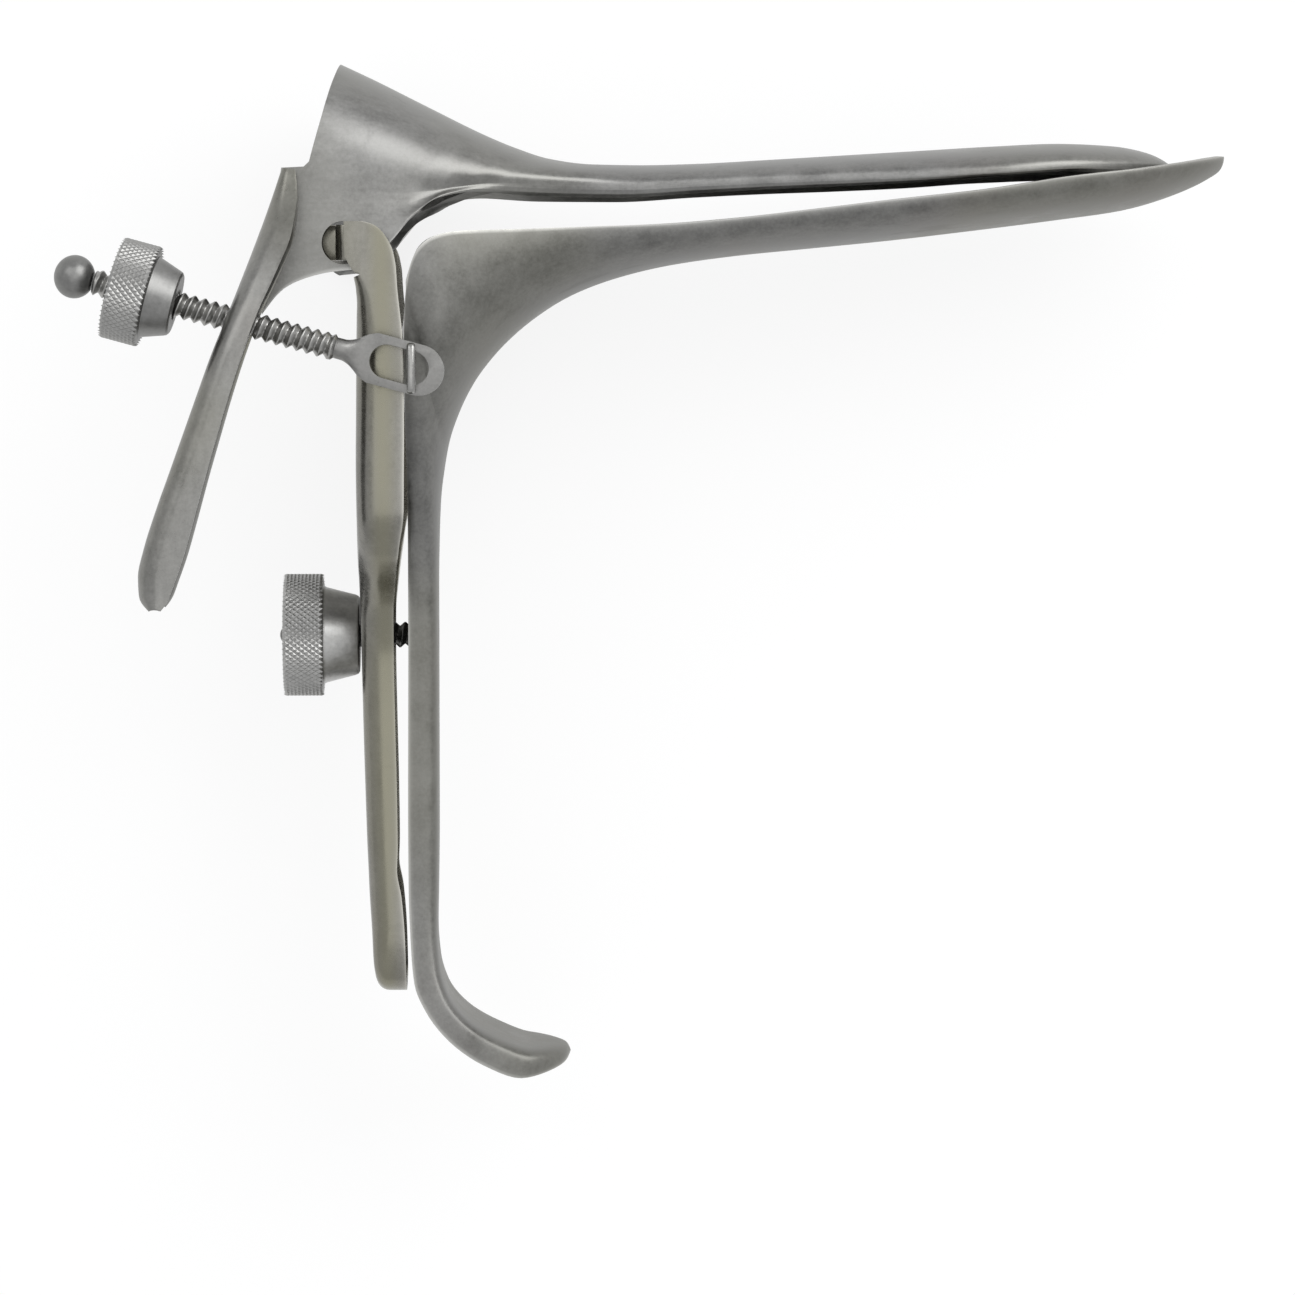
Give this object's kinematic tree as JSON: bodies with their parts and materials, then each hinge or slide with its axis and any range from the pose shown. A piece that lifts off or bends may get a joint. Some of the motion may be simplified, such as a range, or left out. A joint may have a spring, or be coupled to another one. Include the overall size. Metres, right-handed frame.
{
  "type": "bivalve vaginal speculum",
  "caption": "Steel speculum with hinged upper blade, fixed lower blade and hooked handle, sliding yoke, thumb lever, and knurled nuts on a side screw and a clamp stud.",
  "frame": {"origin": "on the outer flat face of the yoke's far arm, the side it lies on, below and in front of the blade hinge", "axes": "+X forward to the blade tips, +Y up from the handle to the blades, +Z across to the side with the thumb lever, away from the floor it lies on"},
  "size_m": [0.1551, 0.1349, 0.0576],
  "materials": {
    "lower_blade": "satin bead-blasted stainless steel, softly worn",
    "clamp_stud": "machined stainless steel, coarse thread",
    "clamp_nut": "turned and knurled stainless steel",
    "yoke_frame": "polished pressed stainless steel with a faint straw tint",
    "screw_lug": "polished stainless steel",
    "upper_blade": "satin bead-blasted stainless steel, softly worn",
    "thumb_lever": "satin pressed stainless steel",
    "adjusting_screw": "machined stainless steel, coarse thread and flattened eye",
    "stop_ball": "dull satin stainless steel",
    "lever_nut": "turned and knurled stainless steel"
  },
  "bodies": {
    "handle": {"lower_blade": "lower_blade", "clamp_stud": "clamp_stud"},
    "clamp_knob": {"clamp_nut": "clamp_nut"},
    "yoke": {"yoke_frame": "yoke_frame", "screw_lug": "screw_lug"},
    "blade": {"upper_blade": "upper_blade", "thumb_lever": "thumb_lever"},
    "rod": {"adjusting_screw": "adjusting_screw", "stop_ball": "stop_ball"},
    "lever_knob": {"lever_nut": "lever_nut"}
  },
  "joints": [
    {"name": "yoke_slide", "type": "slide", "parent": "handle", "child": "yoke", "axis": [0, 1, 0], "range_m": [0, 0.026]},
    {"name": "blade_hinge", "type": "hinge", "parent": "yoke", "child": "blade", "pos_m": [-0.005, 0.015, 0.0236], "axis": [0, 0, 1], "range_deg": [0, 28]},
    {"name": "rod_swing", "type": "hinge", "parent": "yoke", "child": "rod", "pos_m": [0.00385, -0.00126, 0.0506], "axis": [0, 0, 1], "range_deg": [0, 12]},
    {"name": "lever_nut_run", "type": "slide", "parent": "rod", "child": "lever_knob", "axis": [0.9637, -0.2618, 0.0523], "range_m": [-0.0018, 0.0055]},
    {"name": "clamp_nut_turn", "type": "hinge", "parent": "handle", "child": "clamp_knob", "pos_m": [-0.009, -0.0373, 0.0236], "axis": [1, 0, 0], "continuous": true}
  ],
  "couplings": [
    {"joint": "rod_swing", "follows": "blade_hinge", "ratio": 0.415}
  ]
}
